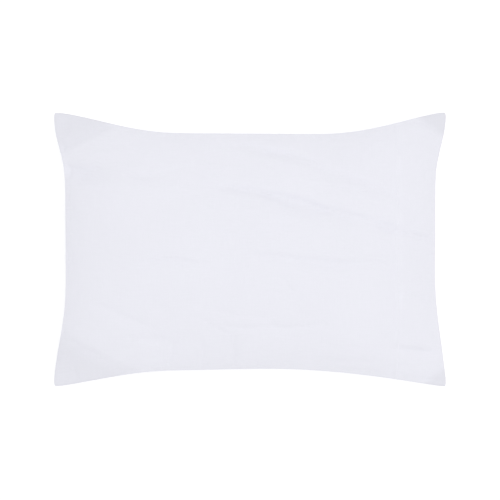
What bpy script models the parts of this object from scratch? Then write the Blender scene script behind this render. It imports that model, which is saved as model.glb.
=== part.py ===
"""A plain white pillowcase, filled by its bed pillow and lying on its back.

The case is one length of cotton: folded at its closed end, sewn along its two long
sides and hemmed at its open end. Filled, it is one closed soft form: a crowned face and
a crowned back that meet in a thin seam, drawn in between four corner ears.

Units are metres, +Z up. The origin is on the surface that the case lies on, under the
middle of it. +X runs to the open end and +Y to the upper long side of the face.
"""

import math
from collections import namedtuple

import bmesh
import bpy
from mathutils import Vector

# ---------------------------------------------------------------- driving dimensions

CASE_LENGTH = 0.707  # filled, from ear tip to ear tip along X
CASE_WIDTH = 0.494  # filled, from ear tip to ear tip along Y

FACE_CROWN = 0.089  # the face's highest point above the seam
BACK_CROWN = 0.096  # the back's fullness below the seam, before the surface flattens it
SEAM_HEIGHT = 0.078  # the seam's height above the surface, midway along a side
SEAM_THICKNESS = 0.003  # both layers of cloth and their turned-in edges
EAR_DROOP_REACH = 0.17  # how far from an ear's tip the seam starts to sink

# How full the crown is along each direction: the exponents of (1 - |t| ** flat) ** steep.
LENGTH_FLAT, LENGTH_STEEP = 2.7, 0.60
WIDTH_FLAT, WIDTH_STEEP = 2.3, 0.58

# The coarse cage that the soft form is subdivided from.
CAGE_ALONG_LENGTH = 27
CAGE_ALONG_WIDTH = 19
CAGE_CROWDING = 0.62  # 0 for an even cage, 1 for one crowded towards the seam
CAGE_GROWTH = 0.0012  # subdividing draws the outline in by this much on each side

# How each side is drawn in between its two ears. A side runs from its first ear to its
# last in the direction of +X or +Y: draw_in is its depth towards each ear, reach is how
# far from the ear's tip the curve takes to get there, and bend is how late it starts.
Side = namedtuple("Side", "draw_in_first draw_in_last reach_first reach_last bend_first bend_last")
UPPER_SIDE = Side(0.0374, 0.0421, 0.224, 0.226, 1.41, 1.34)
LOWER_SIDE = Side(0.0262, 0.0403, 0.208, 0.350, 1.21, 1.06)
CLOSED_END = Side(0.0247, 0.0216, 0.180, 0.121, 1.73, 2.50)
OPEN_END = Side(0.0228, 0.0205, 0.204, 0.121, 1.45, 2.29)

# The four corner ears. Length is how far from its tip an ear stays thin and empty, and
# droop is how far the tip hangs below the seam's height.
Ear = namedtuple("Ear", "length droop")
EARS = {
    ("closed", "upper"): Ear(0.068, 0.021),
    ("closed", "lower"): Ear(0.064, 0.020),
    ("open", "upper"): Ear(0.052, 0.014),
    ("open", "lower"): Ear(0.048, 0.012),
}

# The main creases of the face, as soft troughs. Each runs from start to end, in metres
# from the middle of the face, and is deepest midway.
Crease = namedtuple("Crease", "start_x start_y end_x end_y depth half_width")
FACE_CREASES = (
    Crease(-0.040, 0.112, 0.290, 0.028, 0.0045, 0.020),
    Crease(-0.020, 0.186, 0.262, 0.096, 0.0030, 0.017),
)

CLOTH_COLOUR = (0.83, 0.83, 0.89, 1.0)
CLOTH_ROUGHNESS = 0.85


# ------------------------------------------------------------------------- the shape


def eased(distance, reach, bend):
    """0 at an ear's tip, rising smoothly to 1 at its reach and staying there."""
    return math.sin(0.5 * math.pi * min(max(distance / reach, 0.0), 1.0)) ** bend


def draw_in(side, along, length):
    """How far a side is drawn in, at a place from -1 to 1 along it."""
    share = 0.5 * (along + 1.0)
    depth = side.draw_in_first * (1.0 - share) + side.draw_in_last * share
    from_first = eased(share * length, side.reach_first, side.bend_first)
    from_last = eased((1.0 - share) * length, side.reach_last, side.bend_last)
    return depth * from_first * from_last


def plan_point(u, v):
    """The place in plan of the cloth's point (u, v), each from -1 to 1."""
    length = CASE_LENGTH + 2.0 * CAGE_GROWTH
    width = CASE_WIDTH + 2.0 * CAGE_GROWTH
    side_beyond = UPPER_SIDE if v > 0.0 else LOWER_SIDE
    end_beyond = OPEN_END if u > 0.0 else CLOSED_END
    x = u * (0.5 * length - draw_in(end_beyond, v, width))
    y = v * (0.5 * width - draw_in(side_beyond, u, length))
    return x, y


def tip_distance(x, y):
    """How far a point in plan is from the nearest ear's tip."""
    return math.hypot(0.5 * CASE_LENGTH - abs(x), 0.5 * CASE_WIDTH - abs(y))


def nearest_ear(x, y):
    """The ear of the quarter of the case that a point in plan is in."""
    return EARS["open" if x > 0.0 else "closed", "upper" if y > 0.0 else "lower"]


def fullness(u, v, x, y):
    """The share of the crown's height at a point: 1 in the middle, 0 at the seam."""
    along_length = (1.0 - abs(u) ** LENGTH_FLAT) ** LENGTH_STEEP
    along_width = (1.0 - abs(v) ** WIDTH_FLAT) ** WIDTH_STEEP
    in_an_ear = math.exp(-((tip_distance(x, y) / nearest_ear(x, y).length) ** 2))
    return along_length * along_width * (1.0 - in_an_ear)


def seam_height(x, y):
    """The seam sinks towards the tip of each ear."""
    nearness = max(0.0, 1.0 - tip_distance(x, y) / EAR_DROOP_REACH)
    return SEAM_HEIGHT - nearest_ear(x, y).droop * nearness**2


def crease_depth(x, y):
    """How deep the face's creases are at a point in plan."""
    depth = 0.0
    for crease in FACE_CREASES:
        start = Vector((crease.start_x, crease.start_y))
        run = Vector((crease.end_x, crease.end_y)) - start
        offset = Vector((x, y)) - start
        share = min(max(offset.dot(run) / run.length_squared, 0.0), 1.0)
        across = (offset - share * run).length / crease.half_width
        depth += crease.depth * math.sin(math.pi * share) * math.exp(-(across**2))
    return depth


def face_height(u, v, x, y):
    """The height of the face's cloth above the surface."""
    full = fullness(u, v, x, y)
    return seam_height(x, y) + 0.5 * SEAM_THICKNESS + FACE_CROWN * full - crease_depth(x, y)


def back_height(u, v, x, y):
    """The height of the back's cloth, which lies flat where it meets the surface."""
    full = fullness(u, v, x, y)
    return max(0.0, seam_height(x, y) - 0.5 * SEAM_THICKNESS - BACK_CROWN * full)


# ------------------------------------------------------------------------- the object


def crowded(t):
    """Moves a cage line at t, from -1 to 1, towards the seam that it is nearer to."""
    return (1.0 - CAGE_CROWDING) * t + CAGE_CROWDING * math.sin(0.5 * math.pi * t)


def subdivide_along(cage, axis, cuts):
    """Cuts each of the cage's edges that run along an axis into equal lengths."""
    edges = [
        edge
        for edge in cage.edges
        if abs((edge.verts[1].co - edge.verts[0].co).normalized()[axis]) > 0.5
    ]
    bmesh.ops.subdivide_edges(cage, edges=edges, cuts=cuts, use_grid_fill=True)


def pillowcase_cage():
    """A flat box, cut into a grid, with each point moved to its place on the cloth."""
    cage = bmesh.new()
    bmesh.ops.create_cube(cage, size=2.0)
    subdivide_along(cage, 0, CAGE_ALONG_LENGTH - 1)
    subdivide_along(cage, 1, CAGE_ALONG_WIDTH - 1)
    for vertex in cage.verts:
        u, v = crowded(vertex.co.x), crowded(vertex.co.y)
        x, y = plan_point(u, v)
        height = face_height if vertex.co.z > 0.0 else back_height
        vertex.co = (x, y, height(u, v, x, y))
    return cage


def cotton():
    """Plain white cotton."""
    material = bpy.data.materials.new("white_cotton")
    material.use_nodes = True
    shader = material.node_tree.nodes["Principled BSDF"]
    shader.inputs["Base Color"].default_value = CLOTH_COLOUR
    shader.inputs["Roughness"].default_value = CLOTH_ROUGHNESS
    shader.inputs["Metallic"].default_value = 0.0
    return material


def centre_on_origin(item):
    """Moves the object so that its box is centred in plan and stands on z = 0."""
    bpy.context.view_layer.update()
    surface = item.evaluated_get(bpy.context.evaluated_depsgraph_get()).data
    places = [vertex.co for vertex in surface.vertices]
    lowest = Vector(min(place[axis] for place in places) for axis in range(3))
    highest = Vector(max(place[axis] for place in places) for axis in range(3))
    middle = 0.5 * (lowest + highest)
    item.location = (-middle.x, -middle.y, -lowest.z)


def build_pillowcase(collection):
    """The filled case, as one closed soft form."""
    mesh = bpy.data.meshes.new("pillowcase")
    cage = pillowcase_cage()
    cage.to_mesh(mesh)
    cage.free()
    mesh.shade_smooth()
    mesh.materials.append(cotton())
    item = bpy.data.objects.new("pillowcase", mesh)
    collection.objects.link(item)
    rounding = item.modifiers.new("Soft form", "SUBSURF")
    rounding.levels = 1
    rounding.render_levels = 1
    centre_on_origin(item)
    return item


def main():
    for item in list(bpy.data.objects):
        bpy.data.objects.remove(item, do_unlink=True)
    collection = bpy.data.collections.new("filled_pillowcase")
    bpy.context.scene.collection.children.link(collection)
    build_pillowcase(collection)


main()
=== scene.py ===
"""A plain white pillowcase, filled by its bed pillow and lying on its back on a pale
floor, seen straight from above.

The cloth starts as the flat, cut case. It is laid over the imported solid, pressed out
by a short cloth simulation with the seam held where it is, and then gets its mouth,
its creases, its seams and its hem. Lengths are in metres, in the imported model's frame:
+X runs to the open end, +Y to the upper long side of the face and +Z out of the face.

A cut place is a place on the empty case laid flat. Its third number is above zero on
the face, below zero on the back, and zero on the line midway through the seam.
"""

import math
from collections import namedtuple

import bmesh
import bpy
import numpy as np
from mathutils import Matrix, Vector, noise
from mathutils.bvhtree import BVHTree
from mathutils.geometry import barycentric_transform


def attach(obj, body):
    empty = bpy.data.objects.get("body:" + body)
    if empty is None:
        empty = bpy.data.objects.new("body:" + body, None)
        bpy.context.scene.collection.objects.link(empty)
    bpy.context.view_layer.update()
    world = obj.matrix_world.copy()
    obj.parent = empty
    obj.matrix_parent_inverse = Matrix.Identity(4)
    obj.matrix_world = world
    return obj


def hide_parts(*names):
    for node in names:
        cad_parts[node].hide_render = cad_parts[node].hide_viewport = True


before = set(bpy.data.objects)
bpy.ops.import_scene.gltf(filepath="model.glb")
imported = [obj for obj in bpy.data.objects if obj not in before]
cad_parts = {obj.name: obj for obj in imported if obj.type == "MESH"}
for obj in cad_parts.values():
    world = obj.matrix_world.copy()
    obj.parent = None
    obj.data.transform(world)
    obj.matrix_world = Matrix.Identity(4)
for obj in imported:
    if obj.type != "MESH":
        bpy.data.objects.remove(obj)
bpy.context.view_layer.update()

# ------------------------------------------------------------------ the maker's sizes

# A wave along an edge of the cloth. Start is its angle midway along that edge.
Wave = namedtuple("Wave", "size radians_a_metre start")

CUT_LENGTH = 0.750  # the empty case laid flat, from the closed end to the mouth
CUT_WIDTH = 0.500  # and from one long side to the other
SEAM_THICKNESS = 0.003  # both cloths and their turned-in edges
SEAM_GROOVE = 0.0011  # how deep the two cloths roll in to the stitches of a sewn side
SEAM_ALLOWANCE = 0.009  # how far the turned-in edges reach inside
ALLOWANCE_LIFT = 0.0005  # how far they lift the cloth over them
ALLOWANCE_EDGE = (0.003, -0.002)  # past their edge: where that starts, and where it is full

HEM_DEPTH = 0.098  # from the mouth to the hem's line of stitches
HEM_PLACE = CUT_LENGTH / 2 - HEM_DEPTH  # where that line lies on the cut case
HEM_STEP = 0.0007  # how far the hem's extra layers stand out
HEM_RISE = (-0.006, -0.001)  # past the line: where they start, and where they are full
HEM_FOLD = 0.6 * HEM_STEP  # the ridge just before the line
HEM_DENT = 0.00015  # how deep the stitches pull the cloth in, just past the line
HEM_OFFSET = 0.0012  # from the line to that ridge, and to that dent
HEM_HALF_WIDTH = 0.0022  # of the ridge, and of the dent
HEM_PULL = 0.6  # how uneven the stitches' pull is
HEM_PULL_PITCH = 0.0135  # from one tight stitch to the next
HEM_PULL_DRIFT = Wave(3.0, 40.0, 0.0)  # how that pitch strays along the hem
HEM_FADE = 0.004  # how far in from the seam the hem takes to stand out

TURNED_UNDER = 0.009  # the raw edge folded in along the hem's stitches, as a third layer
TURNED_UNDER_LIFT = 0.5 * HEM_STEP
TURNED_UNDER_EDGE = 0.003  # how softly its edges show
TURNED_UNDER_LUMP = 0.050  # the size of the stretches where it shows
TURNED_UNDER_SHOWN = (-0.05, 0.45)  # the noise at which it starts to show, and shows fully

STITCH_PITCH = 0.0031
STITCH_LENGTH = 0.0024
STITCH_WIDTH = 0.0006
STITCH_LIFT = 0.00012  # how far the middle of a stitch is above the cloth
STITCH_MARGIN = 0.006  # how far from the sewn sides their row ends
STITCHED_CLOTH = 0.020  # the cloth that stitches are laid on reaches this far from the line

MOUTH_LENGTH = 0.472  # the part of the open end that isn't caught in the side seams
MOUTH_DEPTH = 0.014  # how far in between the lips the mouth is modelled
MOUTH_GAPE = 0.0034  # how far each lip moves off the other midway, but for its waves
MOUTH_TAPER = 0.110  # how far from each end of the mouth that takes to grow
MOUTH_REACH = 0.022  # how far in from the mouth it is felt
MOUTH_WAVES = (Wave(0.45, 31.0, 0.8), Wave(0.2, 73.0, 0.0))  # as shares of the gape
LIP_THICKNESS = 0.0009

# ------------------------------------------------- the grid of threads, laid and pressed

CELL = 0.0064  # between the grid's lines, in most of the cloth
FINE_CELL = 0.0021  # and next to the seam and to the hem's stitches
CROWDING_REACH = 0.008  # how far from those the lines are crowded
SAME_PLACE = 1e-5  # cut places that are nearer to each other than this are one

SEAM_SLOPE = 0.25  # the solid's seam is where its normal rises or falls by less than this
RAY_START = 0.5  # above or below the floor, clear of the solid

PRESS_FRAMES = 24  # how long the simulation runs
PRESSURE = 4.0
MOST_MOVE = 0.009  # the furthest that pressing out may move the cloth
SLACK_RIPPLE = 0.0010  # the unevenness that the slack cloth starts from
SLACK_LUMP = 0.022  # the size of its lumps
SLACK_FROM = (0.004, 0.02)  # the filling's thickness where it starts, and where it is full

# --------------------------------------------------------- small folds, made by chance

NOISE_STEPS = (17.3, 5.1, 9.7)  # from one pattern of noise to the next

# Rumples are low, long valleys. They follow the lines where a stretched noise crosses
# zero, and a second noise picks the stretches that show.
RUMPLE_DEPTH = 0.0013
RUMPLE_LENGTH = 0.130
RUMPLE_WIDTH = 0.040
RUMPLE_SHARPNESS = 0.14  # the noise at which a rumple is down to about a third
RUMPLE_BEND = 0.030  # how far a rumple bends to a side
RUMPLE_PATCH = 0.110  # the size of its bends, and of the stretches that show
RUMPLE_SHOWN = (-0.25, 0.45)  # the noise at which it starts to show, and shows fully
FACE_RUMPLE_TURN = -0.25  # radians, from +X towards +Y
BACK_RUMPLE_TURN = 0.35

# Puckers are short folds in from the seam. The pairs are ranges that chance draws from.
PUCKER_DEPTH = 0.0017
PUCKER_PEAK = 0.011  # how far in from the seam a pucker is deepest
PUCKER_TAIL = 0.3  # the share of its reach past which it fades out
PUCKER_REACH = (0.022, 0.075)
PUCKER_HALF_WIDTH = (0.004, 0.008)
PUCKER_SLANT = (-0.35, 0.35)
PUCKER_STRENGTH = (0.15, 1.0)
PUCKER_FAINTNESS = 1.6  # an exponent: above 1, it makes more of them faint
PUCKER_PITCH = (0.014, 0.042)
PUCKER_MARGIN = 0.03  # how far from the ends of a side they keep

Crumple = namedtuple("Crumple", "height lump start")
CRUMPLES = (Crumple(0.00045, 0.030, 3), Crumple(0.00022, 0.012, 4))
CRUMPLE_FADE = 0.02  # how far in from the seam they take to grow

SEAM_RIPPLE = 0.0016  # how far the seam waves up and down
SEAM_RIPPLE_LUMP = 0.014
SEAM_RIPPLE_REACH = 0.012  # how far in from the seam that is felt

# Where the case is as thin as the first of these its two cloths start to move together,
# and where it is as thin as the second they do so wholly.
THIN_CASE = (0.016, 0.005)
THIN_LOSS = 0.6  # the share of the fine relief that is lost there

# ---------------------------------------------------------------- creases, listed one by one

CREASE_WANDER = 0.0035  # how far a crease strays from its curve
CREASE_UNEVENNESS = 0.3  # how much its depth changes along it
WANDER_LUMP = 0.045  # the size of those changes
CREASE_FADE = 0.010  # how far in from the seam creases take to grow

# A crease runs through three places in plan. It is a trough where its depth is above
# zero and a ridge where it is below. Seen along its run, a lean above zero makes its
# left side the steeper one, and a lean below zero its right side.
Crease = namedtuple("Crease", "x1 y1 x2 y2 x3 y3 depth half_width lean")

FACE_CREASES = (
    # the two long diagonals, from the middle of the face to the open end
    Crease(-0.056, 0.186, 0.045, 0.177, 0.140, 0.142, 0.0068, 0.010, 0.50),
    Crease(0.085, 0.156, 0.185, 0.124, 0.288, 0.086, 0.0044, 0.012, 0.40),
    Crease(-0.074, 0.112, -0.016, 0.109, 0.044, 0.098, 0.0054, 0.010, 0.45),
    Crease(0.012, 0.105, 0.078, 0.089, 0.156, 0.066, 0.0100, 0.014, 0.50),
    Crease(0.096, 0.082, 0.186, 0.058, 0.280, 0.034, 0.0068, 0.013, 0.40),
    Crease(0.215, 0.048, 0.280, 0.029, 0.338, 0.020, 0.0056, 0.008, 0.30),
    # the full cloth that stands between and below them
    Crease(0.060, 0.130, 0.168, 0.102, 0.270, 0.068, -0.0030, 0.015, 0.0),
    Crease(-0.050, 0.078, 0.066, 0.056, 0.176, 0.026, -0.0024, 0.016, 0.0),
    # level creases across the middle and the lower half
    Crease(-0.045, 0.002, 0.110, -0.020, 0.280, -0.022, 0.0052, 0.012, 0.3),
    Crease(-0.210, -0.024, -0.130, -0.018, -0.062, -0.030, 0.0034, 0.008, 0.3),
    Crease(-0.080, -0.129, 0.030, -0.137, 0.160, -0.126, 0.0022, 0.006, 0.2),
    Crease(-0.085, 0.034, 0.000, 0.026, 0.080, 0.032, 0.0024, 0.008, 0.2),
    # from the closed end down to the lower side
    Crease(-0.300, -0.092, -0.228, -0.114, -0.150, -0.146, 0.0024, 0.010, 0.2),
    Crease(-0.205, -0.148, -0.160, -0.158, -0.112, -0.172, 0.0026, 0.014, 0.1),
    # by the closed end's upper ear
    Crease(-0.350, 0.150, -0.300, 0.141, -0.226, 0.137, 0.0120, 0.021, 0.25),
    Crease(-0.330, 0.178, -0.286, 0.174, -0.220, 0.172, -0.0024, 0.011, 0.0),
    Crease(-0.240, 0.140, -0.180, 0.130, -0.100, 0.146, 0.0024, 0.009, 0.2),
    Crease(-0.330, 0.106, -0.210, 0.112, -0.080, 0.098, -0.0028, 0.013, 0.0),
    # by the open end's ears
    Crease(0.270, 0.238, 0.306, 0.228, 0.334, 0.210, 0.0030, 0.008, 0.2),
    Crease(0.250, -0.168, 0.304, -0.180, 0.346, -0.176, 0.0046, 0.009, 0.3),
    # short ones in from the lower side and along it
    Crease(-0.148, -0.214, -0.140, -0.190, -0.136, -0.164, 0.0028, 0.008, 0.2),
    Crease(-0.086, -0.216, -0.081, -0.190, -0.088, -0.164, 0.0026, 0.008, -0.2),
    Crease(-0.026, -0.216, -0.029, -0.182, -0.023, -0.146, 0.0036, 0.009, 0.2),
    Crease(0.100, -0.206, 0.160, -0.200, 0.250, -0.204, 0.0028, 0.009, 0.1),
)

BACK_CREASES = (
    Crease(-0.300, 0.150, -0.205, 0.098, -0.110, 0.066, 0.0036, 0.013, 0.3),
    Crease(-0.312, -0.156, -0.230, -0.112, -0.130, -0.086, 0.0032, 0.014, -0.3),
    Crease(0.300, 0.158, 0.205, 0.116, 0.125, 0.090, 0.0030, 0.012, 0.2),
    Crease(0.304, -0.150, 0.215, -0.104, 0.140, -0.082, 0.0034, 0.013, -0.2),
    Crease(-0.040, 0.196, -0.020, 0.150, -0.028, 0.105, 0.0026, 0.009, 0.2),
    Crease(0.080, -0.200, 0.066, -0.160, 0.072, -0.112, 0.0026, 0.009, 0.2),
)

# An ear is the corner of the case that the filling's round corner doesn't reach. The
# end and the side name it, and the filling stops short of its tip by along_side on the
# side and by along_end on the end, over a boundary as soft as softness. Valley is how
# deep the cloth dips along that boundary, and shade how much darker the empty ear is
# painted: a painted shade.
Ear = namedtuple("Ear", "end side along_side along_end softness valley shade")
EARS = (
    Ear(-1, 1, 0.150, 0.071, 0.012, 0.0044, 0.052),
    Ear(-1, -1, 0.184, 0.100, 0.018, 0.0030, 0.042),
    Ear(1, 1, 0.062, 0.046, 0.008, 0.0018, 0.072),
    Ear(1, -1, 0.044, 0.036, 0.008, 0.0016, 0.068),
)
VALLEY_HALF_WIDTH = 0.009
VALLEY_UNEVENNESS = 0.4

# ------------------------------------------------------------------------ the finishes and painted shade

COTTON_COLOUR = (0.83, 0.83, 0.88, 1.0)
COTTON_ROUGHNESS = 0.86
EDGE_PAINTED_SHADE = 0.03  # painted shade: how much darker the very edge of the case is painted
EDGE_PAINTED_SHADE_REACH = 0.003
HEM_WHITENESS = 0.012  # a third layer hides what is behind the cloth

# The threads are noise stretched along them, in lumps a metre along and across them.
Grain = namedtuple("Grain", "along_thread across_thread")
SLUBS = Grain(28.0, 900.0)  # thick and thin stretches
WEAVE = Grain(110.0, 2800.0)  # single threads
SLUB_TINT = 0.035
SLUB_ROUGHNESS = 0.05
SLUB_HEIGHT = 0.00010
WEAVE_HEIGHT = 0.00007
CLOUDS_A_METRE = 9.0
CLOUD_TINT = 0.03
WRINKLES_A_METRE = 55.0
WRINKLE_HEIGHT = 0.0006

THREAD_TWIST = 9000.0  # radians a metre
THREAD_TWIST_HEIGHT = 0.00005
THREAD_COLOURS_WITH_PAINTED_SHADE = ((0.88, 0.88, 0.92, 1.0), (0.96, 0.96, 0.98, 1.0))  # darker between its turns, a painted shade, and lighter on them; both lighter than the cotton, partly its own colour and partly a painted highlight

# ----------------------------------------------------------------- floor, light, view

FLOOR_SIZE = 12.0
FLOOR_COLOUR = (0.60, 0.60, 0.60, 1.0)
FLOOR_GLOW = 0.47
# A painted contact shadow: under the case, the floor's glow is turned down.
PAINTED_SHADOW_REACH = (0.30, 0.185)  # the half length and half width of the painted contact shadow under the case
PAINTED_SHADOW_POWER = 4.0  # how square its corners are
PAINTED_SHADOW_CORE = 0.45  # where its even middle ends, between 0 and 1 at its edge
PAINTED_SHADOW_GLOW = 0.25  # the share of the floor's glow that is left in that middle

SKY_COLOUR = (0.98, 0.982, 1.0, 1.0)
SKY_LOW = 0.82  # its strength at the horizon
SKY_HIGH = 0.966  # and straight above
KEY_PLACE = (0.45, 0.15, 2.8)
KEY_SIZE = 1.2
KEY_POWER = 10.0

VIEW_WIDTH = 0.900  # the frame's width at the seam's height
VIEW_DISTANCE = 3.0  # from the camera to the seam's height
VIEW_HEIGHT = 0.074  # the seam's mean height above the floor
VIEW_CENTRE = (0.0004, -0.0010)
SENSOR_WIDTH = 36.0  # millimetres

# -------------------------------------------------------------------- small utilities


def deselect_all():
    if bpy.context.object and bpy.context.object.mode != "OBJECT":
        bpy.ops.object.mode_set(mode="OBJECT")
    bpy.ops.object.select_all(action="DESELECT")


def pick(item):
    """Makes one object the only one selected, and the active one."""
    deselect_all()
    item.select_set(True)
    bpy.context.view_layer.objects.active = item


def rows_of(source, field):
    """A collection's vectors as rows of x, y and z."""
    flat = np.zeros(3 * len(source), np.float32)
    source.foreach_get(field, flat)
    return flat.reshape(-1, 3).astype(float)


def points_of(mesh):
    return rows_of(mesh.vertices, "co")


def normals_of(mesh):
    return rows_of(mesh.vertex_normals, "vector")


def set_points(mesh, points):
    mesh.vertices.foreach_set("co", points.astype(np.float32).ravel())
    mesh.update()


def keep_for_points(mesh, name, values):
    """Keeps a number, or a row of three, for each point. Later modelling carries it on."""
    kind, field = ("FLOAT", "value") if values.ndim == 1 else ("FLOAT_VECTOR", "vector")
    layer = mesh.attributes.new(name, kind, "POINT")
    layer.data.foreach_set(field, values.astype(np.float32).ravel())


def kept_rows(mesh, name):
    return rows_of(mesh.attributes[name].data, "vector")


def kept_numbers(mesh, name):
    flat = np.zeros(len(mesh.vertices), np.float32)
    mesh.attributes[name].data.foreach_get("value", flat)
    return flat.astype(float)


def eased(value, low, high):
    """0 where value is at low or short of it, 1 at high or past it, smooth between."""
    share = np.clip((value - low) / (high - low), 0.0, 1.0)
    return share * share * (3.0 - 2.0 * share)


def bell(distance, half_width):
    """1 on a line, falling off smoothly to each side of it."""
    return np.exp(-((distance / half_width) ** 2))


def waved(wave, along):
    return wave.size * np.sin(wave.radians_a_metre * along + wave.start)


def unevenness(places, lump, start):
    """Smooth noise, from about -1 to 1, with lumps of one size. Start picks its pattern."""
    shift = Vector([step * start for step in NOISE_STEPS])
    return np.array([noise.noise(Vector(place) / lump + shift) for place in places])


# ----------------------------------------------------- the cloth, laid over the solid


def seam_points(solid):
    """The solid's points on its seam: those whose surface faces out sideways."""
    merged = {}
    for place, normal in zip(points_of(solid.data), normals_of(solid.data)):
        key = tuple(np.round(place, 6))
        merged[key] = merged.get(key, np.zeros(3)) + normal
    return np.array([place for place, total in merged.items()
                     if abs(total[2]) < SEAM_SLOPE * np.linalg.norm(total)])


class SolidSurface:
    """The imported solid, read as a face and a back over its outline in plan."""

    def __init__(self, solid):
        mesh = solid.data
        corners = [tuple(vertex.co) for vertex in mesh.vertices]
        self.tree = BVHTree.FromPolygons(corners, [tuple(p.vertices) for p in mesh.polygons])
        seam = seam_points(solid)
        self.half_length = seam[:, 0].max()
        self.half_width = seam[:, 1].max()
        share_x = seam[:, 0] / self.half_length
        share_y = seam[:, 1] / self.half_width
        long_side = np.abs(share_y) > np.abs(share_x)
        self.upper = self.side(seam[long_side & (share_y > 0)], 0)
        self.lower = self.side(seam[long_side & (share_y < 0)], 0)
        self.open = self.side(seam[~long_side & (share_x > 0)], 1)
        self.closed = self.side(seam[~long_side & (share_x < 0)], 1)

    @staticmethod
    def side(points, along):
        """One side of the seam in order: its places along, its places out, its heights."""
        ordered = points[np.argsort(points[:, along])]
        return ordered[:, along], ordered[:, 1 - along], ordered[:, 2]

    def plan(self, u, v):
        """The place in plan of the point (u, v) of the outline, each from -1 to 1."""
        low, high = (np.interp(v * self.half_width, *s[:2]) for s in (self.closed, self.open))
        near, far = (np.interp(u * self.half_length, *s[:2]) for s in (self.lower, self.upper))
        x = low + (high - low) * (u + 1.0) / 2.0
        y = near + (far - near) * (v + 1.0) / 2.0
        return x, y

    def height(self, x, y, up):
        """The height of the face (up 1) or of the back (up -1) over a place in plan."""
        hit = self.tree.ray_cast(Vector((x, y, RAY_START * up)), Vector((0.0, 0.0, -up)))[0]
        return np.nan if hit is None else hit.z

    def sheet(self, up, long_steps=180, wide_steps=120):
        """The face or the back as a grid of points over the outline."""
        u, v = np.meshgrid(np.linspace(-1, 1, long_steps + 1),
                           np.linspace(-1, 1, wide_steps + 1), indexing="ij")
        x, y = self.plan(u, v)
        z = np.array([[self.height(a, b, up) for a, b in zip(row_x, row_y)]
                      for row_x, row_y in zip(x, y)])
        lip = up * SEAM_THICKNESS / 2
        z[:, 0] = np.interp(x[:, 0], self.lower[0], self.lower[2]) + lip
        z[:, -1] = np.interp(x[:, -1], self.upper[0], self.upper[2]) + lip
        z[0] = np.interp(y[0], self.closed[0], self.closed[2]) + lip
        z[-1] = np.interp(y[-1], self.open[0], self.open[2]) + lip
        return np.stack([x, y, z], axis=-1)


def spread_evenly(sheet, rounds=4):
    """Slides a grid's points along its own lines until each line's steps are even, as
    the threads of a cloth laid over the same surface would be."""
    for _ in range(2 * rounds):
        for index, line in enumerate(sheet):
            steps = np.linalg.norm(np.diff(line, axis=0), axis=1)
            along = np.concatenate([[0.0], np.cumsum(steps)])
            even = np.linspace(0.0, along[-1], len(line))
            sheet[index] = np.stack([np.interp(even, along, line[:, k]) for k in range(3)], 1)
        sheet = sheet.transpose(1, 0, 2).copy()
    return sheet


def sample(sheet, s, t):
    """The grid's places at shares s and t, from 0 to 1, of its length and width."""
    long_steps, wide_steps = sheet.shape[0] - 1, sheet.shape[1] - 1
    a, b = np.clip(s, 0, 1) * long_steps, np.clip(t, 0, 1) * wide_steps
    i = np.minimum(a.astype(int), long_steps - 1)
    j = np.minimum(b.astype(int), wide_steps - 1)
    f, g = (a - i)[:, None], (b - j)[:, None]
    near = sheet[i, j] * (1 - g) + sheet[i, j + 1] * g
    far = sheet[i + 1, j] * (1 - g) + sheet[i + 1, j + 1] * g
    return near * (1 - f) + far * f


def thread_lines(cut, crowded_at, readings=4001):
    """Where the grid's lines lie across one direction of the cut case: CELL apart, and
    down to about FINE_CELL apart next to the places given."""
    places = np.linspace(-cut / 2, cut / 2, readings)
    per_metre = np.full(places.shape, 1 / CELL)
    for place in crowded_at:
        per_metre += (1 / FINE_CELL - 1 / CELL) * bell(places - place, CROWDING_REACH)
    steps = (per_metre[1:] + per_metre[:-1]) / 2 * np.diff(places)
    count = np.concatenate([[0.0], np.cumsum(steps)])
    return np.interp(np.linspace(0, count[-1], round(count[-1]) + 1), count, places)


def select_where(case, kind, wanted):
    """In edit mode, selects the edges or faces whose points all satisfy wanted."""
    bpy.ops.mesh.select_mode(type=kind)
    bpy.ops.mesh.select_all(action="DESELECT")
    mesh = bmesh.from_edit_mesh(case.data)
    for element in mesh.edges if kind == "EDGE" else mesh.faces:
        element.select_set(wanted([vertex.co for vertex in element.verts]))
    mesh.select_flush_mode()
    bmesh.update_edit_mesh(case.data)


def cut_case():
    """The empty case laid flat: a face and a back, joined all round by the seam's strip,
    which has one line of points along its middle."""
    long_lines = thread_lines(CUT_LENGTH, (-CUT_LENGTH / 2, CUT_LENGTH / 2, HEM_PLACE))
    wide_lines = thread_lines(CUT_WIDTH, (-CUT_WIDTH / 2, CUT_WIDTH / 2))
    deselect_all()
    bpy.ops.mesh.primitive_grid_add(x_subdivisions=len(long_lines) - 1,
                                    y_subdivisions=len(wide_lines) - 1,
                                    size=1.0, location=(0, 0, SEAM_THICKNESS / 2))
    case = bpy.context.object
    case.name = case.data.name = "pillowcase_cloth"
    bpy.ops.object.transform_apply(location=True, rotation=True, scale=True)
    flat = points_of(case.data)
    for axis, lines in enumerate((long_lines, wide_lines)):
        flat[:, axis] = lines[np.rint((flat[:, axis] + 0.5) * (len(lines) - 1)).astype(int)]
    set_points(case.data, flat)
    bpy.ops.object.mode_set(mode="EDIT")
    bpy.ops.mesh.select_all(action="SELECT")
    bpy.ops.mesh.extrude_region_move(TRANSFORM_OT_translate={"value": (0, 0, -SEAM_THICKNESS)})
    bpy.ops.mesh.select_all(action="SELECT")
    bpy.ops.mesh.normals_make_consistent(inside=False)
    select_where(case, "EDGE", lambda ends: abs(ends[0].z - ends[1].z) > SEAM_THICKNESS / 2)
    bpy.ops.mesh.subdivide(number_cuts=1)
    bpy.ops.object.mode_set(mode="OBJECT")
    return case


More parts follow.
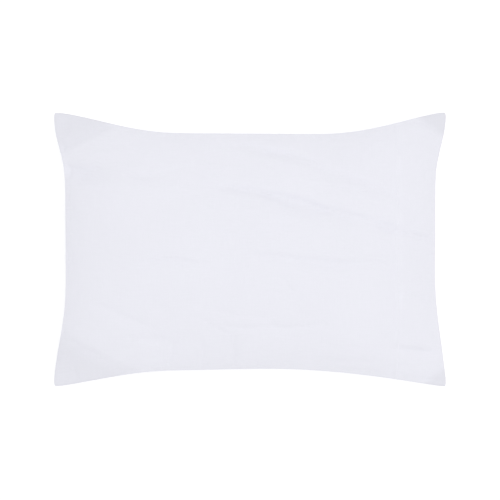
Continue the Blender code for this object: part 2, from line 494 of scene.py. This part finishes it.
def press_out(case, filled, cut):
    """Lets the filling's pressure give the cloth its own shape, with its seam held."""
    seam = case.vertex_groups.new(name="seam")
    on_seam = ((np.abs(np.abs(cut[:, 0]) - CUT_LENGTH / 2) < SAME_PLACE)
               | (np.abs(np.abs(cut[:, 1]) - CUT_WIDTH / 2) < SAME_PLACE))
    seam.add(np.flatnonzero(on_seam).tolist(), 1.0, "REPLACE")
    case.shape_key_add(name="filled", from_mix=False)
    as_cut = case.shape_key_add(name="cut", from_mix=False)
    as_cut.data.foreach_set("co", cut.astype(np.float32).ravel())
    cloth = case.modifiers.new("Cloth", "CLOTH")
    cloth.settings.quality = 6
    cloth.settings.tension_stiffness = 25
    cloth.settings.compression_stiffness = 25
    cloth.settings.shear_stiffness = 6
    cloth.settings.bending_stiffness = 0.1
    cloth.settings.use_pressure = True
    cloth.settings.uniform_pressure_force = PRESSURE
    cloth.settings.effector_weights.gravity = 0.0
    cloth.settings.vertex_group_mass = "seam"
    cloth.settings.rest_shape_key = as_cut
    cloth.collision_settings.use_collision = False
    cloth.point_cache.frame_end = PRESS_FRAMES
    for step in range(1, PRESS_FRAMES + 1):
        bpy.context.scene.frame_set(step)
    settled = case.evaluated_get(bpy.context.evaluated_depsgraph_get())
    pressed = points_of(settled.data)
    case.modifiers.remove(cloth)
    case.shape_key_clear()
    bpy.context.scene.frame_set(1)
    move = pressed - filled
    reach = np.linalg.norm(move, axis=1, keepdims=True)
    capped = MOST_MOVE * np.tanh(reach / MOST_MOVE)
    return filled + move * (capped / np.maximum(reach, 1e-9))


def fill_case(case, surface):
    """Moves the cut case's points to where the filled case has them."""
    mesh = case.data
    cut = points_of(mesh)
    s, t = cut[:, 0] / CUT_LENGTH + 0.5, cut[:, 1] / CUT_WIDTH + 0.5
    face = sample(spread_evenly(surface.sheet(1.0)), s, t)
    back = sample(spread_evenly(surface.sheet(-1.0)), s, t)
    of_face = 0.5 + 0.5 * np.sign(np.round(cut[:, 2], 6))[:, None]
    filled = of_face * face + (1.0 - of_face) * back
    keep_for_points(mesh, "cut_place", cut)
    keep_for_points(mesh, "filling", np.linalg.norm(face - back, axis=1))
    set_points(mesh, filled)
    slack = eased(face[:, 2] - back[:, 2], *SLACK_FROM)
    ripple = SLACK_RIPPLE * unevenness(cut, SLACK_LUMP, start=1) * slack
    start = filled + normals_of(mesh) * ripple[:, None]
    set_points(mesh, start)
    filled = press_out(case, start, cut)
    filled[:, 2] = np.maximum(filled[:, 2], 0.0)
    set_points(mesh, filled)


# ------------------------------------------------------------- mouth, seams and creases


def open_mouth(case):
    """Parts the two lips at the open end, and turns the cloth in between them."""
    mesh = case.data
    points, cut = points_of(mesh), kept_rows(mesh, "cut_place")
    middle = eased(MOUTH_LENGTH / 2 - np.abs(cut[:, 1]), 0.0, MOUTH_TAPER)
    waves = 1.0 + sum(waved(wave, cut[:, 1]) for wave in MOUTH_WAVES)
    inward = eased(CUT_LENGTH / 2 - cut[:, 0], MOUTH_REACH, 0.0)
    points[:, 2] += MOUTH_GAPE * middle * waves * inward * cut[:, 2] / (SEAM_THICKNESS / 2)
    set_points(mesh, points)
    strip = {tuple(np.round(point, 5)) for point, place in zip(points, cut)
             if abs(place[0] - CUT_LENGTH / 2) < SAME_PLACE and abs(place[1]) < MOUTH_LENGTH / 2}
    pick(case)
    bpy.ops.object.mode_set(mode="EDIT")
    select_where(case, "FACE", lambda corners: all(
        tuple(np.round(np.array(corner, float), 5)) in strip for corner in corners))
    bpy.ops.mesh.inset(thickness=LIP_THICKNESS, depth=0.0)
    bpy.ops.mesh.extrude_region_move(TRANSFORM_OT_translate={"value": (-MOUTH_DEPTH, 0, 0)})
    bpy.ops.object.mode_set(mode="OBJECT")


def map_cloth(case):
    """A UV map in metres, as if the one length of cotton lay flat: the face on the plus
    side of the closed end's fold, and the back on its minus side."""
    mesh = case.data
    cut = kept_rows(mesh, "cut_place")
    beyond = SEAM_THICKNESS / 2 - np.abs(cut[:, 2])
    on_end = np.abs(cut[:, 0]) > CUT_LENGTH / 2 - SAME_PLACE
    along = cut[:, 0] + np.sign(cut[:, 0]) * beyond * on_end + CUT_LENGTH / 2 + SEAM_THICKNESS / 2
    across = cut[:, 1] + np.sign(cut[:, 1]) * beyond * ~on_end
    layer = mesh.uv_layers.new(name="cloth")
    for polygon in mesh.polygons:
        corners = list(polygon.vertices)
        side = 1.0 if cut[corners, 2].mean() > 0.0 else -1.0
        for corner, loop in zip(corners, polygon.loop_indices):
            layer.uv[loop].vector = (side * along[corner], across[corner])


def make_finer(case):
    """Halves the cloth's cells."""
    pick(case)
    finer = case.modifiers.new("Finer", "SUBSURF")
    finer.levels = finer.render_levels = 1
    finer.uv_smooth = "NONE"
    bpy.ops.object.modifier_apply(modifier=finer.name)


def beside_path(path, x, y):
    """How far along a path each place lies, as a share, and how far to the path's left."""
    nearest = np.full(len(x), np.inf)
    share, left = np.zeros(len(x)), np.zeros(len(x))
    for index, (start, end) in enumerate(zip(path, path[1:])):
        run = end - start
        t = np.clip(((x - start[0]) * run[0] + (y - start[1]) * run[1]) / run.dot(run), 0, 1)
        away_x, away_y = x - start[0] - t * run[0], y - start[1] - t * run[1]
        distance = np.hypot(away_x, away_y)
        nearer = distance < nearest
        nearest[nearer] = distance[nearer]
        share[nearer] = (index + t[nearer]) / (len(path) - 1)
        left[nearer] = np.sign(run[0] * away_y - run[1] * away_x)[nearer]
    return share, nearest * left


def crease_path(crease, steps=16):
    """Points along the smooth curve through a crease's three places."""
    first = np.array([crease.x1, crease.y1])
    middle = np.array([crease.x2, crease.y2])
    last = np.array([crease.x3, crease.y3])
    bend = 2.0 * middle - 0.5 * (first + last)
    t = np.linspace(0, 1, steps + 1)[:, None]
    return first * (1 - t) ** 2 + 2 * bend * t * (1 - t) + last * t**2


def depth_of(creases, x, y, wander):
    """How deep the creases are at each place. Towards its ends each fades out and
    narrows to half, and wander, a noise, keeps it from lying ruled."""
    depth = np.zeros(len(x))
    for crease in creases:
        share, left = beside_path(crease_path(crease), x, y)
        left = left + CREASE_WANDER * wander
        middle = np.sin(math.pi * share)
        reach = crease.half_width * (1.0 - crease.lean * np.sign(left)) * (0.5 + 0.5 * middle)
        fade = middle * (1.0 + CREASE_UNEVENNESS * wander)
        depth += crease.depth * fade * (1.0 + (left / reach) ** 2) ** -1.5
    return depth


def rumples(cut, turn, start):
    """How deep the rumples are at each cut place. Turn is the way that they run."""
    bend = RUMPLE_BEND * unevenness(cut, RUMPLE_PATCH, start)
    along = cut[:, 0] * math.cos(turn) + cut[:, 1] * math.sin(turn)
    across = cut[:, 1] * math.cos(turn) - cut[:, 0] * math.sin(turn) + bend
    level = np.zeros(len(cut))
    stretched = np.stack([along / RUMPLE_LENGTH, across / RUMPLE_WIDTH, level], axis=1)
    line = unevenness(stretched, 1.0, start + 1)
    shown = eased(unevenness(cut, RUMPLE_PATCH, start + 2), *RUMPLE_SHOWN)
    return RUMPLE_DEPTH * shown * bell(line, RUMPLE_SHARPNESS)


def seam_puckers(cut, seed):
    """How deep the puckers in from the four sides are at each cut place."""
    chance = np.random.default_rng(seed)
    depth = np.zeros(len(cut))
    for along, half_along, half_across in ((0, CUT_LENGTH / 2, CUT_WIDTH / 2),
                                           (1, CUT_WIDTH / 2, CUT_LENGTH / 2)):
        for sign in (-1, 1):
            inward = half_across - sign * cut[:, 1 - along]
            place = -half_along + PUCKER_MARGIN
            while place < half_along - PUCKER_MARGIN:
                reach = chance.uniform(*PUCKER_REACH)
                half_width = chance.uniform(*PUCKER_HALF_WIDTH)
                slant = chance.uniform(*PUCKER_SLANT)
                strength = chance.uniform(*PUCKER_STRENGTH) ** PUCKER_FAINTNESS
                sideways = cut[:, along] - place - slant * inward
                width = half_width * (1.0 + inward / reach)
                rise = (inward / PUCKER_PEAK) * np.exp(1.0 - inward / PUCKER_PEAK)
                tail = eased(inward, reach, PUCKER_TAIL * reach)
                depth += PUCKER_DEPTH * strength * rise * tail * bell(sideways, width)
                place += chance.uniform(*PUCKER_PITCH)
    return depth


def past_filling(ear, surface, x, y):
    """How far each place lies on the empty side of an ear's boundary, towards its tip."""
    from_tip_x = surface.half_length - ear.end * x
    from_tip_y = surface.half_width - ear.side * y
    steepness = math.hypot(1 / ear.along_side, 1 / ear.along_end)
    return (1.0 - from_tip_x / ear.along_side - from_tip_y / ear.along_end) / steepness


def empty_ears(surface, x, y, wander):
    """How much painted shade darkens the empty ears at each place, and how deep the cloth
    dips along their boundaries."""
    shade, valleys = np.zeros(len(x)), np.zeros(len(x))
    for ear in EARS:
        past = past_filling(ear, surface, x, y)
        shade = np.maximum(shade, ear.shade * eased(past, -ear.softness, ear.softness))
        uneven = 1.0 + VALLEY_UNEVENNESS * wander
        valleys += ear.valley * bell(past, VALLEY_HALF_WIDTH) * uneven
    return shade, valleys


def turned_under(cut):
    """1 on the strip of the hem that has a third layer, uneven along it, and 0 off it."""
    into_hem = cut[:, 0] - HEM_PLACE
    along_hem = np.stack([0.0 * cut[:, 0], cut[:, 1], cut[:, 2]], axis=1)
    shown = eased(unevenness(along_hem, TURNED_UNDER_LUMP, start=6), *TURNED_UNDER_SHOWN)
    starts = eased(into_hem, -TURNED_UNDER_EDGE, 0.0)
    ends = eased(into_hem, TURNED_UNDER + TURNED_UNDER_EDGE, TURNED_UNDER)
    return shown * starts * ends


def hem_relief(cut):
    """How far the hem stands out: its extra layers, the ridge of its fold and the strip
    turned under, less the dent of its stitches."""
    into_hem = cut[:, 0] - HEM_PLACE
    step = HEM_STEP * eased(into_hem, *HEM_RISE)
    fold = HEM_FOLD * bell(into_hem + HEM_OFFSET, HEM_HALF_WIDTH)
    stray = waved(HEM_PULL_DRIFT, cut[:, 1])
    pull = 1.0 + HEM_PULL * np.sin(2 * math.pi * cut[:, 1] / HEM_PULL_PITCH + stray)
    dent = HEM_DENT * pull * bell(into_hem - HEM_OFFSET, HEM_HALF_WIDTH)
    return step + fold + TURNED_UNDER_LIFT * turned_under(cut) - dent


def seam_relief(cut):
    """How far the turned-in edges inside the sewn sides lift the cloth over them."""
    past_edge = CUT_WIDTH / 2 - np.abs(cut[:, 1]) - SEAM_ALLOWANCE
    return ALLOWANCE_LIFT * eased(past_edge, *ALLOWANCE_EDGE)


def fine_relief(points, cut, from_seam):
    """How far the cloth stands out: its crumples, its hem and its sewn sides."""
    crumple = sum(c.height * unevenness(points, c.lump, c.start) for c in CRUMPLES)
    crumple = crumple * eased(from_seam, 0.0, CRUMPLE_FADE)
    return crumple + hem_relief(cut) * eased(from_seam, 0.0, HEM_FADE) + seam_relief(cut)


def seam_ripple(cut, from_seam):
    """How far the seam, and the cloth next to it, wave up and down."""
    in_plan = np.stack([cut[:, 0], cut[:, 1], np.zeros(len(cut))], axis=1)
    uneven = unevenness(in_plan, SEAM_RIPPLE_LUMP, start=5)
    return SEAM_RIPPLE * np.exp(-from_seam / SEAM_RIPPLE_REACH) * uneven


def crease_cloth(case, surface):
    """Moves the fine cloth into its creases, puckers, hem and seams, and keeps how much
    darker it is painted at each point: painted shade on the empty ears and at the very
    edge of the case, less the hem's whiter third layer."""
    mesh = case.data
    points, normals = points_of(mesh), normals_of(mesh)
    cut, filling = kept_rows(mesh, "cut_place"), kept_numbers(mesh, "filling")
    x, y = points[:, 0], points[:, 1]
    on_face = cut[:, 2] > SAME_PLACE
    on_back = cut[:, 2] < -SAME_PLACE
    from_seam = np.clip(np.minimum(CUT_LENGTH / 2 - np.abs(cut[:, 0]),
                                   CUT_WIDTH / 2 - np.abs(cut[:, 1])), 0.0, None)
    thin = eased(filling, *THIN_CASE)
    wander = unevenness(points, WANDER_LUMP, start=2)
    shade, valleys = empty_ears(surface, x, y, wander)
    inside = eased(from_seam, 0.0, CREASE_FADE)
    in_face = inside * (depth_of(FACE_CREASES, x, y, wander) + valleys
                        + seam_puckers(cut, seed=11) + rumples(cut, FACE_RUMPLE_TURN, start=44))
    in_back = inside * (depth_of(BACK_CREASES, x, y, wander) + valleys
                        + seam_puckers(cut, seed=12) + rumples(cut, BACK_RUMPLE_TURN, start=31))
    out = fine_relief(points, cut, from_seam) * (1.0 - THIN_LOSS * thin)

    # Each cloth sinks into its own creases along its normal. Where the case is thin, the
    # back goes straight down with the face instead, so that the two don't cross.
    up = np.array([0.0, 0.0, 1.0])
    towards_face = np.where(on_face[:, None], normals, -normals)
    towards_face = towards_face * (1.0 - thin[:, None]) + up * thin[:, None]
    sink = np.where(on_face, in_face, thin * in_face - (1.0 - thin) * in_back)
    points = points - towards_face * sink[:, None] + normals * out[:, None]
    points[:, 2] += seam_ripple(cut, from_seam) * thin

    on_sewn_side = np.abs(cut[:, 1]) > CUT_WIDTH / 2 - 10 * SAME_PLACE
    middle_row = ~on_face & ~on_back & on_sewn_side
    points[middle_row] -= SEAM_GROOVE * normals[middle_row]
    points[:, 2] = np.maximum(points[:, 2], 0.0)
    set_points(mesh, points)
    # Painted shade: the very edge of the case and the empty ears are painted darker. The hem's
    # third layer is its own whiter colour.
    edge = EDGE_PAINTED_SHADE * np.exp(-from_seam / EDGE_PAINTED_SHADE_REACH)
    keep_for_points(mesh, "shade", shade + (edge - HEM_WHITENESS * turned_under(cut)))


# --------------------------------------------------------------------- the stitches


def cloth_places(case, cut_places, side):
    """Where places on the cut face (side 1) or back (side -1) have come to, with the
    surface's direction there."""
    mesh = case.data
    cut, points = kept_rows(mesh, "cut_place"), points_of(mesh)
    mesh.calc_loop_triangles()
    corners = np.array([triangle.vertices for triangle in mesh.loop_triangles])
    near_hem = np.abs(cut[corners, 0] - HEM_PLACE).max(axis=1) < STITCHED_CLOTH
    on_side = (side * cut[corners, 2]).min(axis=1) > 0
    corners = corners[near_hem & on_side]
    flat = [Vector((*place[:2], 0.0)) for place in cut]
    tree = BVHTree.FromPolygons(flat, corners.tolist())
    for place in cut_places:
        found = tree.ray_cast(Vector((*place, 1.0)), Vector((0, 0, -1)))
        if found[0] is None:
            continue
        a, b, c = corners[found[2]]
        real = [Vector(points[k]) for k in (a, b, c)]
        where = barycentric_transform(found[0], flat[a], flat[b], flat[c], *real)
        facing = (real[1] - real[0]).cross(real[2] - real[0]).normalized()
        yield where, facing


def one_stitch():
    """A short bead of thread, laid along Y."""
    deselect_all()
    bpy.ops.mesh.primitive_uv_sphere_add(segments=8, ring_count=6, radius=0.5)
    stitch = bpy.context.object
    bpy.ops.object.mode_set(mode="EDIT")
    bpy.ops.transform.rotate(value=math.pi / 2, orient_axis="X", center_override=(0, 0, 0))
    bpy.ops.transform.resize(value=(STITCH_WIDTH, STITCH_LENGTH, STITCH_WIDTH))
    bpy.ops.object.mode_set(mode="OBJECT")
    stitch.data.shade_smooth()
    return stitch


def hem_stitching(case):
    """The hem's line of stitches, on the face and on the back."""
    pattern = one_stitch()
    copies = []
    count = int((CUT_WIDTH - 2 * STITCH_MARGIN) / STITCH_PITCH)
    row = [(HEM_PLACE, (k - count / 2 + 0.5) * STITCH_PITCH) for k in range(count)]
    for side in (1.0, -1.0):
        places = list(cloth_places(case, row, side))
        for index, (where, facing) in enumerate(places):
            before = places[max(index - 1, 0)][0]
            after = places[min(index + 1, len(places) - 1)][0]
            forward = (after - before).normalized()
            sideways = forward.cross(facing).normalized()
            outward = sideways.cross(forward)
            turn = Matrix((sideways, forward, outward)).transposed().to_4x4()
            stitch = pattern.copy()
            stitch.data = pattern.data.copy()
            stitch.matrix_world = Matrix.Translation(where + STITCH_LIFT * outward) @ turn
            bpy.context.scene.collection.objects.link(stitch)
            copies.append(stitch)
    bpy.data.objects.remove(pattern)
    deselect_all()
    for stitch in copies:
        stitch.select_set(True)
    bpy.context.view_layer.objects.active = copies[0]
    bpy.ops.object.join()
    stitching = bpy.context.object
    stitching.name = stitching.data.name = "hem_stitching"
    bpy.ops.object.transform_apply(location=True, rotation=True, scale=True)
    return stitching


# ---------------------------------------------------------------------- the materials


class Wire:
    """A socket of a material's nodes. Arithmetic on it adds Math nodes."""

    def __init__(self, tree, socket=None):
        self.tree = tree
        self.socket = socket

    def add(self, kind, settings=None, values=None, output=0):
        """Adds a node. Its settings are set first, then its sockets' values or links."""
        node = self.tree.nodes.new("ShaderNode" + kind)
        for name, setting in (settings or {}).items():
            setattr(node, name, setting)
        for name, value in (values or {}).items():
            if isinstance(value, Wire):
                self.tree.links.new(value.socket, node.inputs[name])
            else:
                node.inputs[name].default_value = value
        return Wire(self.tree, node.outputs[output])

    def feed(self, shader, name):
        """Links this socket to one of a shader's."""
        self.tree.links.new(self.socket, shader.inputs[name])

    def maths(self, operation, *values):
        return self.add("Math", {"operation": operation}, dict(enumerate(values)))

    def __add__(self, other):
        return self.maths("ADD", self, other)

    def __radd__(self, other):
        return self.maths("ADD", other, self)

    def __sub__(self, other):
        return self.maths("SUBTRACT", self, other)

    def __rsub__(self, other):
        return self.maths("SUBTRACT", other, self)

    def __mul__(self, other):
        return self.maths("MULTIPLY", self, other)

    def __rmul__(self, other):
        return self.maths("MULTIPLY", other, self)


def parts_of(vector, *names):
    """The wires of a vector's parts, such as X and Y."""
    split = vector.add("SeparateXYZ", values={0: vector})
    return [Wire(vector.tree, split.socket.node.outputs[name]) for name in names]


def grey(level):
    """A colour that has the same level of red, green and blue."""
    return level.add("CombineColor", values={0: level, 1: level, 2: level})


def new_paint(name):
    """A material, with the wire to build on and its one shader."""
    paint = bpy.data.materials.new(name)
    paint.use_nodes = True
    return paint, Wire(paint.node_tree), paint.node_tree.nodes["Principled BSDF"]


def white_cotton():
    """Plain-woven white cotton, faintly cool, with painted shade on the empty ears, where
    nothing fills it, and at the case's very edge.
    """
    paint, wire, shader = new_paint("white_cotton")
    place = wire.add("TexCoord", output="Object")
    along, across = parts_of(wire.add("UVMap", {"uv_map": "cloth"}), "X", "Y")

    def stretched(scale_along, scale_across):
        spread = wire.add("CombineXYZ", values={0: along * scale_along, 1: across * scale_across})
        return wire.add("TexNoise", values={"Vector": spread, "Scale": 1.0, "Detail": 2.0})

    def threads(grain):
        """The threads along the cut and those across it, from about -1 to 1."""
        return stretched(*grain) + stretched(*reversed(grain)) - 1.0

    slubs = threads(SLUBS)
    weave = threads(WEAVE)
    cloudy = wire.add("TexNoise", values={
        "Vector": place, "Scale": CLOUDS_A_METRE, "Detail": 3.0}) - 0.5
    # Painted shade on the empty ears and at the case's very edge, less the hem's whiter third
    # layer.
    shade = wire.add("Attribute", {"attribute_name": "shade"}, output="Fac")
    light = 1.0 - shade + slubs * SLUB_TINT + cloudy * CLOUD_TINT
    tint = wire.add("Mix", {"data_type": "RGBA", "blend_type": "MULTIPLY"}, {
        0: 1.0, 6: COTTON_COLOUR, 7: grey(light)}, output=2)
    tint.feed(shader, "Base Color")
    roughness = COTTON_ROUGHNESS + slubs * SLUB_ROUGHNESS
    roughness.feed(shader, "Roughness")
    wrinkles = wire.add("TexNoise", values={
        "Vector": place, "Scale": WRINKLES_A_METRE, "Detail": 4.0})
    height = weave * WEAVE_HEIGHT + slubs * SLUB_HEIGHT + wrinkles * WRINKLE_HEIGHT
    bump = wire.add("Bump", values={"Strength": 0.8, "Distance": 1.0, "Height": height})
    bump.feed(shader, "Normal")
    shader.inputs["Sheen Weight"].default_value = 0.06
    shader.inputs["Sheen Roughness"].default_value = 0.5
    shader.inputs["Specular IOR Level"].default_value = 0.25
    return paint


def white_thread():
    """Sewing thread: white cotton with its twist. Painted shade darkens it between its turns,
    and its colour, lighter than the cotton's, is partly a painted highlight.
    """
    paint, wire, shader = new_paint("white_thread")
    along, height = parts_of(wire.add("TexCoord", output="Object"), "Y", "Z")
    twist = wire.maths("SINE", (along + height) * THREAD_TWIST)
    # Painted shade between the turns, and the lighter colour on them.
    between, on_turns = THREAD_COLOURS_WITH_PAINTED_SHADE
    tint = wire.add("Mix", {"data_type": "RGBA"}, {
        0: 0.5 + twist * 0.5, 6: between, 7: on_turns}, output=2)
    tint.feed(shader, "Base Color")
    bump = wire.add("Bump", values={
        "Strength": 0.6, "Distance": 1.0, "Height": twist * THREAD_TWIST_HEIGHT})
    bump.feed(shader, "Normal")
    shader.inputs["Roughness"].default_value = 0.62
    return paint


# ----------------------------------------------------------------- floor, light, view


def pale_floor():
    """A lit table top that glows. Under the case its glow is turned down, a painted contact
    shadow.
    """
    bpy.ops.mesh.primitive_plane_add(size=FLOOR_SIZE, location=(0, 0, 0))
    floor = bpy.context.object
    floor.name = "pale_floor"
    paint, wire, shader = new_paint("pale_floor")
    x, y = parts_of(wire.add("TexCoord", output="Object"), "X", "Y")
    reach_x, reach_y = PAINTED_SHADOW_REACH
    outward_x = wire.maths("POWER", x * (1.0 / reach_x), PAINTED_SHADOW_POWER)
    outward_y = wire.maths("POWER", y * (1.0 / reach_y), PAINTED_SHADOW_POWER)
    # The painted contact shadow: the floor's glow, turned down under the case.
    glow = wire.add("MapRange", {"clamp": True, "interpolation_type": "SMOOTHSTEP"}, {
        "Value": outward_x + outward_y, "From Min": PAINTED_SHADOW_CORE, "From Max": 1.0,
        "To Min": PAINTED_SHADOW_GLOW, "To Max": 1.0})
    grey(glow).feed(shader, "Emission Color")
    shader.inputs["Base Color"].default_value = FLOOR_COLOUR
    shader.inputs["Roughness"].default_value = 0.9
    shader.inputs["Emission Strength"].default_value = FLOOR_GLOW
    floor.data.materials.append(paint)


def soft_sky():
    """An even, faintly cool sky, a little stronger straight above than at the horizon."""
    world = bpy.data.worlds.new("studio")
    world.use_nodes = True
    sky = world.node_tree.nodes["Background"]
    sky.inputs["Color"].default_value = SKY_COLOUR
    wire = Wire(world.node_tree)
    up = parts_of(wire.add("TexCoord", output="Generated"), "Z")[0]
    strength = wire.add("MapRange", {"clamp": True}, {
        "Value": up, "From Min": 0.0, "From Max": 1.0, "To Min": SKY_LOW, "To Max": SKY_HIGH})
    strength.feed(sky, "Strength")
    bpy.context.scene.world = world


def key_light():
    """One large soft light, almost overhead, that points at the middle of the floor."""
    light = bpy.data.lights.new("key_softbox", "AREA")
    light.shape = "SQUARE"
    light.size = KEY_SIZE
    light.energy = KEY_POWER
    item = bpy.data.objects.new("key_softbox", light)
    item.location = KEY_PLACE
    item.rotation_euler = (-Vector(KEY_PLACE)).to_track_quat("-Z", "Y").to_euler()
    bpy.context.scene.collection.objects.link(item)


def camera():
    """Looks straight down on the case, as the photo does."""
    data = bpy.data.cameras.new("camera")
    data.sensor_width = SENSOR_WIDTH
    data.lens = SENSOR_WIDTH * VIEW_DISTANCE / VIEW_WIDTH
    item = bpy.data.objects.new("camera", data)
    item.location = (*VIEW_CENTRE, VIEW_HEIGHT + VIEW_DISTANCE)
    bpy.context.scene.collection.objects.link(item)
    bpy.context.scene.camera = item


# -------------------------------------------------------------------------- assembly

camera()
soft_sky()
key_light()
pale_floor()
bpy.context.scene.view_settings.view_transform = "Standard"

surface = SolidSurface(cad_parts["pillowcase"])
case = cut_case()
fill_case(case, surface)
open_mouth(case)
map_cloth(case)
make_finer(case)
crease_cloth(case, surface)
case.data.shade_smooth()
case.data.materials.append(white_cotton())
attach(case, "root")
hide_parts("pillowcase")

stitching = hem_stitching(case)
stitching.data.materials.clear()
stitching.data.materials.append(white_thread())
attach(stitching, "root")
